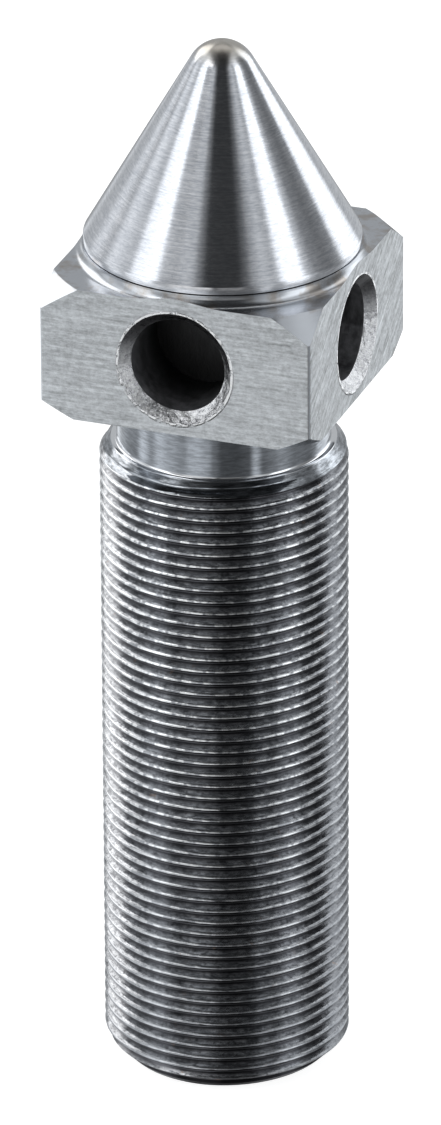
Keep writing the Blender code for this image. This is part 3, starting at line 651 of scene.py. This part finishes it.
def turned_steel():
    """The turned surfaces of the body. The neck and shoulder are painted darker as shade under the head, the
    fillet at the neck's foot carries a painted highlight line, and the head's top has patches of painted
    brown reflection.
    """
    finish = Finish("body_steel_turned", (0.56, 0.58, 0.61), 0.2, 1.0)
    rings = finish.noise(3.0, 0.6, (30.0, 30.0, 2600.0))
    reflection_patches = finish.noise(4.0, 0.6, (210.0, 210.0, 210.0))
    mottled = finish.spread(finish.noise(4.0, 0.7, (420.0, 420.0, 2600.0)), 0.38, 0.62)
    on_top = finish.spread(finish.height, HEAD_TOP_Z - 0.4 * MM, HEAD_TOP_Z - 0.1 * MM)
    in_head = finish.spread(finish.height, HEAD_BOTTOM_Z - 0.1 * MM, HEAD_BOTTOM_Z + 0.1 * MM)
    in_neck = finish.spread(finish.height, NECK_BOTTOM_Z + 0.3 * MM, NECK_BOTTOM_Z + 0.6 * MM)
    fillet_highlight = finish.spread(finish.height, NECK_BOTTOM_Z - 0.12 * MM, NECK_BOTTOM_Z - 0.02 * MM)
    # Painted shade: the shoulder and the neck are darker where they sit under the head
    shoulder = finish.mix(mottled, (0.16, 0.17, 0.18), (0.52, 0.545, 0.58))
    neck = finish.mix(mottled, (0.27, 0.285, 0.305), (0.43, 0.455, 0.49))
    # Painted highlight: a light line along the fillet at the neck's foot
    steel = finish.mix(fillet_highlight, shoulder, (0.85, 0.86, 0.88))
    steel = finish.mix(in_neck, steel, neck)
    steel = finish.mix(in_head, steel, (0.56, 0.58, 0.61))
    # Painted reflection: brown patches on the head's top, laid out by the patch noise
    top_reflection = finish.times(on_top, finish.spread(reflection_patches, 0.50, 0.64, 0.0, 0.7))
    finish.drive("Base Color", finish.mix(top_reflection, steel, (0.38, 0.33, 0.28)))
    polish = finish.spread(rings, 0.3, 0.7, 0.05, 0.12)
    finish.drive("Roughness", finish.plus(polish, finish.times(on_top, 0.12)))
    finish.bump(rings, 0.2, 0.05 * MM)
    finish.turned(0.5)
    return finish.material


def thread_steel():
    """Cut thread: roots painted dark as shade, grey streaked flanks, crests rubbed bright in dashes, a few
    brown specks.

    The crests are duller towards the rear, and on the left they are smoother and carry a painted highlight;
    a strip on the right is painted dark as shade.
    """
    finish = Finish("thread_steel_cut", (0.42, 0.43, 0.46), 0.2, 1.0)
    grain = finish.noise(5.0, 0.75, (520.0, 520.0, 3600.0))
    pits = finish.noise(3.0, 0.6, (1500.0, 1500.0, 1500.0))
    dashes = finish.noise(2.0, 0.5, (700.0, 700.0, 450.0))
    patches = finish.noise(3.0, 0.5, (110.0, 110.0, 60.0))
    rust = finish.noise(5.0, 0.7, (330.0, 330.0, 420.0))
    root_radius = THREAD_RADIUS - THREAD_DEPTH
    flank = finish.spread(finish.radius, root_radius + 0.12 * MM, root_radius + 0.62 * MM)
    crest = finish.spread(finish.radius, THREAD_RADIUS - 0.30 * MM, THREAD_RADIUS - 0.16 * MM)
    # The left side of the thread: its crests carry a painted highlight and its bump is gentler
    left_sheen_and_calm = finish.spread(finish.axes["X"], -9 * MM, -14 * MM)
    upper = finish.spread(finish.height, 10 * MM, 80 * MM)
    # Painted shade: a dark strip down the right side of the thread
    right_painted_shade = finish.times(finish.spread(finish.axes["X"], 18.3 * MM, 19.8 * MM), 0.6)
    bright = finish.maths("MAXIMUM", finish.spread(dashes, 0.42, 0.54), finish.times(left_sheen_and_calm, 0.7))
    polished = finish.mix(upper, (0.46, 0.47, 0.49), (0.97, 0.98, 0.99))
    burnish_and_sheen = finish.mix(bright, (0.36, 0.37, 0.39), polished)
    flanks = finish.mix(finish.spread(grain, 0.38, 0.62), (0.17, 0.175, 0.185), (0.64, 0.65, 0.67))
    flanks = finish.mix(finish.spread(pits, 0.34, 0.46, 0.7, 0.0), flanks, (0.08, 0.08, 0.085))
    flanks = finish.mix(finish.spread(patches, 0.35, 0.65, 0.4, 0.0), flanks, (0.22, 0.225, 0.235))
    # Painted shade: the thread's roots are much darker than its flanks
    colour = finish.mix(flank, (0.10, 0.10, 0.108), flanks)
    colour = finish.mix(crest, colour, burnish_and_sheen)
    colour = finish.mix(right_painted_shade, colour, (0.11, 0.115, 0.125))
    colour = finish.mix(finish.spread(rust, 0.66, 0.74, 0.0, 0.75), colour, (0.30, 0.21, 0.16))
    finish.drive("Base Color", colour)
    finish.drive("Roughness", finish.spread(grain, 0.3, 0.7, 0.12, 0.24))
    torn = finish.times(dashes, finish.spread(patches, 0.45, 0.65, 0.5, 2.2))
    bump = finish.bump(finish.plus(finish.times(grain, 0.4), torn), 0.36, 0.06 * MM)
    finish.link(finish.spread(left_sheen_and_calm, 0.0, 1.0, 0.36, 0.08), bump.inputs["Strength"])
    return finish.material


def milled_steel(name, turn, base, across, contrast):
    """A milled flat with a fine straight grain and a broken burr round its hole, whose white colour is a
    painted glint.

    turn tips the grain about the flat's own normal, across is the axis that runs along the flat, and
    contrast is how far the grain's tones lie from the base colour.
    """
    finish = Finish(name, base, 0.42, 0.7)
    rise = finish.maths("SUBTRACT", finish.height, CAPSTAN_Z)
    run = finish.axes[across]
    from_hole = finish.maths("SQRT", finish.plus(finish.times(rise, rise), finish.times(run, run)))
    rim = CAPSTAN_MOUTH_RADIUS + 0.30 * MM
    near_hole = finish.spread(from_hole, rim + 0.20 * MM, rim)
    torn = finish.spread(finish.noise(2.0, 0.5, (800.0, 800.0, 800.0)), 0.38, 0.48, 0.15, 1.0)
    burr = finish.times(near_hole, torn)
    grain = finish.noise(5.0, 0.8, (620.0, 620.0, 2600.0), turn)
    long_grain = finish.noise(3.0, 0.6, (90.0, 90.0, 1500.0), turn)
    spots = finish.noise(6.0, 0.8, (1000.0, 1000.0, 1000.0))
    light = tuple(min(1.0, channel * (1.0 + contrast)) for channel in base)
    dark = tuple(channel * (1.0 - contrast * 0.9) for channel in base)
    shade = finish.weighted((grain, 0.4), (spots, 0.3), (long_grain, 0.3))
    tone = finish.mix(finish.spread(shade, 0.37, 0.63), dark, light)
    # Painted glint: the burr round the hole is coloured white
    finish.drive("Base Color", finish.mix(burr, tone, (1.0, 1.0, 1.0)))
    rough = finish.spread(grain, 0.3, 0.7, 0.34, 0.50)
    finish.drive("Roughness", finish.maths("SUBTRACT", rough, finish.times(burr, 0.2)))
    finish.bump(finish.plus(shade, finish.times(burr, 3.0)), 0.9, 0.10 * MM)
    return finish.material


def mouth_steel():
    """The countersinks: smooth and painted dark as shade at the top, torn and sparkling lower down."""
    finish = Finish("mouth_steel_burred", (0.66, 0.67, 0.69), 0.2, 1.0)
    chatter = finish.noise(3.0, 0.6, (480.0, 480.0, 480.0))
    fine = finish.noise(4.0, 0.7, (1500.0, 1500.0, 1500.0))
    lower = finish.spread(finish.height, CAPSTAN_Z + 4 * MM, CAPSTAN_Z - 2 * MM, 0.12, 1.0)
    torn = finish.mix(finish.spread(fine, 0.38, 0.60), (0.60, 0.60, 0.62), (1.0, 1.0, 1.0))
    # Painted shade: the top of each countersink is nearly black
    smooth = finish.mix(fine, (0.07, 0.07, 0.075), (0.20, 0.20, 0.21))
    finish.drive("Base Color", finish.mix(lower, smooth, torn))
    finish.drive("Roughness", finish.spread(fine, 0.35, 0.65, 0.24, 0.42))
    bump = finish.bump(finish.plus(chatter, finish.times(fine, 0.35)), 1.0, 0.5 * MM)
    finish.link(lower, bump.inputs["Strength"])
    return finish.material


def bore_steel():
    """Dark scratched walls, with painted shade that deepens towards the bottom of a capstan hole."""
    finish = Finish("bore_steel_dark", (0.20, 0.20, 0.21), 0.5, 0.0)
    streaks = finish.noise(4.0, 0.7, (500.0, 500.0, 160.0))
    scratches = finish.spread(streaks, 0.35, 0.7)
    scratched = finish.mix(scratches, (0.05, 0.05, 0.053), (0.22, 0.22, 0.23))
    # Painted shade: the walls turn nearly black deeper into the hole
    near_mouth = finish.spread(finish.radius, 12 * MM, 21 * MM)
    finish.drive("Base Color", finish.mix(near_mouth, (0.012, 0.012, 0.013), scratched))
    finish.drive("Roughness", finish.spread(streaks, 0.4, 0.8, 0.4, 0.7))
    finish.bump(streaks, 0.5, 0.2 * MM)
    return finish.material


def simple_finish(name, colour, roughness, metallic, cells):
    """A finish for the pieces inside, with fine variation in its colour and roughness."""
    finish = Finish(name, colour, roughness, metallic)
    grain = finish.noise(4.0, 0.6, (cells, cells, cells))
    dark = tuple(channel * 0.85 for channel in colour)
    finish.drive("Base Color", finish.mix(grain, dark, colour))
    finish.drive("Roughness", finish.spread(grain, 0.3, 0.7, roughness * 0.8, roughness * 1.2))
    finish.bump(grain, 0.2, 0.03 * MM)
    return finish.material


def finish_inner_pieces():
    """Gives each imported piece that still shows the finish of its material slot."""
    finishes = {
        "bearing_steel": simple_finish("bearing_steel_ground", (0.70, 0.71, 0.73), 0.16, 1.0, 1500.0),
        "dark_steel": simple_finish("dark_steel_oxide", (0.10, 0.10, 0.11), 0.42, 0.9, 1200.0),
        "brass": simple_finish("brass_machined", (0.72, 0.55, 0.28), 0.30, 1.0, 1200.0),
        "felt": simple_finish("felt_oiled", (0.10, 0.095, 0.09), 0.95, 0.0, 3500.0),
        "rubber": simple_finish("rubber_black", (0.02, 0.02, 0.02), 0.70, 0.0, 2000.0),
    }
    slots = {part["node"]: part["material_slot"] for part in frame["record"]["subparts"]}
    for name, piece in frame["nodes"].items():
        if slots[name] not in finishes:
            continue
        piece.data.materials.clear()
        piece.data.materials.append(finishes[slots[name]])


# ---------------------------------------------------------------- studio

# Brightness of the studio round the object, as (degrees to the right of the camera, brightness)
WALL_BAND = (
    (-180, 0.5), (-150, 0.5), (-138, 0.55), (-125, 0.85), (-114, 0.5), (-104, 0.95), (-86, 0.6), (-79, 1.4),
    (-62, 1.7), (-55, 0.5), (-43, 0.38), (-35, 0.57), (-29, 0.6), (-22, 0.22), (-15, 0.045), (14, 0.045),
    (22, 0.15), (28, 0.4), (37, 0.62), (47, 0.46), (54, 1.5), (69, 1.7), (75, 0.6), (84, 0.25), (96, 0.18),
    (108, 0.26), (115, 1.4), (124, 1.9), (136, 1.5), (146, 0.5), (180, 0.5),
)
FLOOR_BAND = (
    (-180, 0.12), (-166, 0.4), (-155, 1.2), (-138, 0.75), (-120, 0.5), (-108, 0.5), (-97, 1.2), (-84, 0.65),
    (-74, 1.1), (-58, 0.8), (-44, 0.6), (-36, 0.95), (-27, 0.95), (-18, 0.75), (-10, 0.32), (-2, 0.14),
    (14, 0.13), (26, 0.18), (34, 0.9), (42, 0.28), (53, 0.36), (64, 0.6), (82, 0.34), (104, 0.3),
    (112, 0.42), (122, 1.1), (142, 1.4), (162, 0.6), (180, 0.12),
)
# Brightness overhead, as (share of the way from left to right, brightness)
CEILING_BAND = (
    (-1.0, 0.9), (-0.75, 1.3), (-0.55, 0.9), (-0.45, 0.2), (-0.25, 0.07), (-0.1, 0.04), (0.05, 0.03),
    (0.25, 0.03), (0.36, 0.15), (0.42, 0.6), (0.55, 0.8), (0.7, 0.5), (1.0, 0.45),
)
# Softboxes: the middle and half sizes of each in degrees, and its brightness
SOFTBOXES = (
    {"azimuth": -136, "elevation": 32, "half_width": 19, "half_height": 18, "brightness": 2.0},
    {"azimuth": -60, "elevation": 45, "half_width": 20, "half_height": 5, "brightness": 2.4},
    {"azimuth": 180, "elevation": 62, "half_width": 40, "half_height": 12, "brightness": 0.9},
    {"azimuth": -26, "elevation": 2, "half_width": 17, "half_height": 11, "brightness": 0.8},
    {"azimuth": 6, "elevation": 0, "half_width": 11, "half_height": 10, "brightness": 0.28},
    {"azimuth": -27, "elevation": -40, "half_width": 16, "half_height": 8, "brightness": 1.1},
    {"azimuth": 2, "elevation": -40, "half_width": 11, "half_height": 8, "brightness": 0.3},
    {"azimuth": 135, "elevation": -42, "half_width": 28, "half_height": 10, "brightness": 0.15},
)
GROUND = 0.05  # brightness right below
BAND_PEAK = 4.0
# Elevations in degrees over which one band gives way to the next
GROUND_TO_FLOOR = (-62, -46)
FLOOR_TO_WALL = (-18, -6)
WALL_TO_CEILING = (36, 54)
SOFTBOX_EDGE = 3  # degrees from a softbox's edge to either side that it fades over

FLOOR_HALF_WIDTH = 4.0
FLOOR_DROP = 0.1 * MM
FLOOR_GREY = (0.5, 0.5, 0.5, 1.0)
FLOOR_GLOW = 0.9


def band_ramp(tree, value, stops, low, high):
    """A ramp of greys from low to high. A ramp holds nothing over 1, so it holds shares of the peak."""
    spread = tree.nodes.new("ShaderNodeMapRange")
    spread.inputs["From Min"].default_value = low
    spread.inputs["From Max"].default_value = high
    tree.links.new(value, spread.inputs["Value"])
    ramp = tree.nodes.new("ShaderNodeValToRGB")
    ramp.color_ramp.interpolation = "EASE"
    elements = ramp.color_ramp.elements
    while len(elements) > 1:
        elements.remove(elements[-1])
    for index, (place, brightness) in enumerate(stops):
        where = (place - low) / (high - low)
        element = elements[0] if index == 0 else elements.new(where)
        element.position = where
        grey = brightness / BAND_PEAK
        element.color = (grey * 0.97, grey, grey * 1.03, 1.0)
    tree.links.new(spread.outputs["Result"], ramp.inputs["Fac"])
    return ramp.outputs["Color"]


def make_world():
    """A plain white studio to the camera. Reflections see soft panels round the object instead."""
    world = bpy.data.worlds.new("studio")
    bpy.context.scene.world = world
    world.use_nodes = True
    tree = world.node_tree
    tree.nodes.clear()

    def maths(operation, first, second=0.0):
        node = tree.nodes.new("ShaderNodeMath")
        node.operation = operation
        for index, value in enumerate((first, second)):
            if isinstance(value, (int, float)):
                node.inputs[index].default_value = value
            else:
                tree.links.new(value, node.inputs[index])
        return node.outputs[0]

    def along(direction, axis):
        node = tree.nodes.new("ShaderNodeVectorMath")
        node.operation = "DOT_PRODUCT"
        tree.links.new(direction, node.inputs[0])
        node.inputs[1].default_value = axis
        return node.outputs["Value"]

    def blend(value, low, high, under, over):
        step = tree.nodes.new("ShaderNodeMapRange")
        step.interpolation_type = "SMOOTHSTEP"
        step.inputs["From Min"].default_value = low
        step.inputs["From Max"].default_value = high
        tree.links.new(value, step.inputs["Value"])
        node = tree.nodes.new("ShaderNodeMix")
        node.data_type = "RGBA"
        tree.links.new(step.outputs["Result"], node.inputs["Factor"])
        tree.links.new(under, [s for s in node.inputs if s.name == "A" and s.type == "RGBA"][0])
        tree.links.new(over, [s for s in node.inputs if s.name == "B" and s.type == "RGBA"][0])
        return [s for s in node.outputs if s.type == "RGBA"][0]

    def grey(brightness):
        node = tree.nodes.new("ShaderNodeRGB")
        node.outputs[0].default_value = (*[brightness / BAND_PEAK] * 3, 1.0)
        return node.outputs[0]

    direction = tree.nodes.new("ShaderNodeTexCoord").outputs["Generated"]
    right = along(direction, (math.cos(CAMERA_AZIMUTH), math.sin(CAMERA_AZIMUTH), 0.0))
    towards = along(direction, (math.sin(CAMERA_AZIMUTH), -math.cos(CAMERA_AZIMUTH), 0.0))
    height = along(direction, (0.0, 0.0, 1.0))
    azimuth = maths("MULTIPLY", maths("ARCTAN2", right, towards), 180 / math.pi)
    elevation = maths("MULTIPLY", maths("ARCSINE", height), 180 / math.pi)
    walls = band_ramp(tree, azimuth, WALL_BAND, -180, 180)
    floor = band_ramp(tree, azimuth, FLOOR_BAND, -180, 180)
    ceiling = band_ramp(tree, right, CEILING_BAND, -1, 1)
    lower = blend(elevation, *FLOOR_TO_WALL, floor, walls)
    lower = blend(elevation, *GROUND_TO_FLOOR, grey(GROUND), lower)
    studio = blend(elevation, *WALL_TO_CEILING, lower, ceiling)
    for softbox in SOFTBOXES:
        round_from = maths("SUBTRACT", azimuth, softbox["azimuth"] - 180)
        beside = maths("ABSOLUTE", maths("SUBTRACT", maths("FLOORED_MODULO", round_from, 360), 180))
        above = maths("ABSOLUTE", maths("SUBTRACT", elevation, softbox["elevation"]))
        across = maths("SUBTRACT", softbox["half_width"], beside)
        upwards = maths("SUBTRACT", softbox["half_height"], above)
        inside = maths("MINIMUM", across, upwards)
        studio = blend(inside, -SOFTBOX_EDGE, SOFTBOX_EDGE, studio, grey(softbox["brightness"]))

    seen = tree.nodes.new("ShaderNodeBackground")
    seen.inputs["Color"].default_value = (1.0, 1.0, 1.0, 1.0)
    reflected = tree.nodes.new("ShaderNodeBackground")
    reflected.inputs["Strength"].default_value = BAND_PEAK
    tree.links.new(studio, reflected.inputs["Color"])
    choose = tree.nodes.new("ShaderNodeMixShader")
    path = tree.nodes.new("ShaderNodeLightPath")
    tree.links.new(path.outputs["Is Camera Ray"], choose.inputs["Fac"])
    tree.links.new(reflected.outputs[0], choose.inputs[1])
    tree.links.new(seen.outputs[0], choose.inputs[2])
    output = tree.nodes.new("ShaderNodeOutputWorld")
    tree.links.new(choose.outputs[0], output.inputs["Surface"])


def make_floor():
    """A pale floor that takes a faint shadow. It is clear from below, so that the rear end can be seen."""
    mesh = bpy.data.meshes.new("floor")
    shape = bmesh.new()
    bmesh.ops.create_grid(shape, x_segments=1, y_segments=1, size=FLOOR_HALF_WIDTH)
    shape.to_mesh(mesh)
    shape.free()
    floor = add_object("floor", mesh)
    material = bpy.data.materials.new("floor_pale")
    material.use_nodes = True
    shader = material.node_tree.nodes["Principled BSDF"]
    shader.inputs["Base Color"].default_value = FLOOR_GREY
    shader.inputs["Roughness"].default_value = 0.9
    shader.inputs["Specular IOR Level"].default_value = 0.0
    shader.inputs["Emission Color"].default_value = (1.0, 1.0, 1.0, 1.0)
    shader.inputs["Emission Strength"].default_value = FLOOR_GLOW
    tree = material.node_tree
    side = tree.nodes.new("ShaderNodeNewGeometry").outputs["Backfacing"]
    clear = tree.nodes.new("ShaderNodeBsdfTransparent").outputs[0]
    choose = tree.nodes.new("ShaderNodeMixShader")
    tree.links.new(side, choose.inputs["Fac"])
    tree.links.new(shader.outputs[0], choose.inputs[1])
    tree.links.new(clear, choose.inputs[2])
    tree.links.new(choose.outputs[0], tree.nodes["Material Output"].inputs["Surface"])
    mesh.materials.append(material)
    floor.location.z = -FLOOR_DROP
    floor.visible_glossy = False
    floor.visible_diffuse = False


def make_camera():
    """A long lens from the front, a little above and to the right."""
    camera_data = bpy.data.cameras.new("camera")
    camera_data.lens = CAMERA_LENS
    camera = bpy.data.objects.new("camera", camera_data)
    bpy.context.scene.collection.objects.link(camera)
    back = Vector(
        (
            math.sin(CAMERA_AZIMUTH) * math.cos(CAMERA_ELEVATION),
            -math.cos(CAMERA_AZIMUTH) * math.cos(CAMERA_ELEVATION),
            math.sin(CAMERA_ELEVATION),
        )
    )
    right = Vector((math.cos(CAMERA_AZIMUTH), math.sin(CAMERA_AZIMUTH), 0.0))
    target = Vector((0.0, 0.0, CAMERA_TARGET_Z)) + right * CAMERA_SHIFT
    camera.rotation_mode = "QUATERNION"
    camera.location = target + back * CAMERA_DISTANCE
    level = (-back).to_track_quat("-Z", "Y")
    camera.rotation_quaternion = level @ Matrix.Rotation(CAMERA_ROLL, 4, "Z").to_quaternion()
    camera_data.clip_start = CAMERA_NEAR
    camera_data.clip_end = CAMERA_FAR
    bpy.context.scene.camera = camera


def main():
    body_finishes = [
        turned_steel(),
        thread_steel(),
        milled_steel("milled_front", (0.0, 0.0, 0.0), (0.60, 0.62, 0.635), "X", 0.55),
        # The side flats take a darker copy of the milled finish as painted shade
        milled_steel("milled_side_shaded", (math.radians(-35), 0.0, 0.0), (0.50, 0.515, 0.525), "Y", 0.8),
        mouth_steel(),
        bore_steel(),
    ]
    make_body(body_finishes)
    make_point(point_steel())
    finish_inner_pieces()
    make_world()
    make_floor()
    make_camera()
    bpy.context.scene.view_settings.view_transform = "Standard"


main()
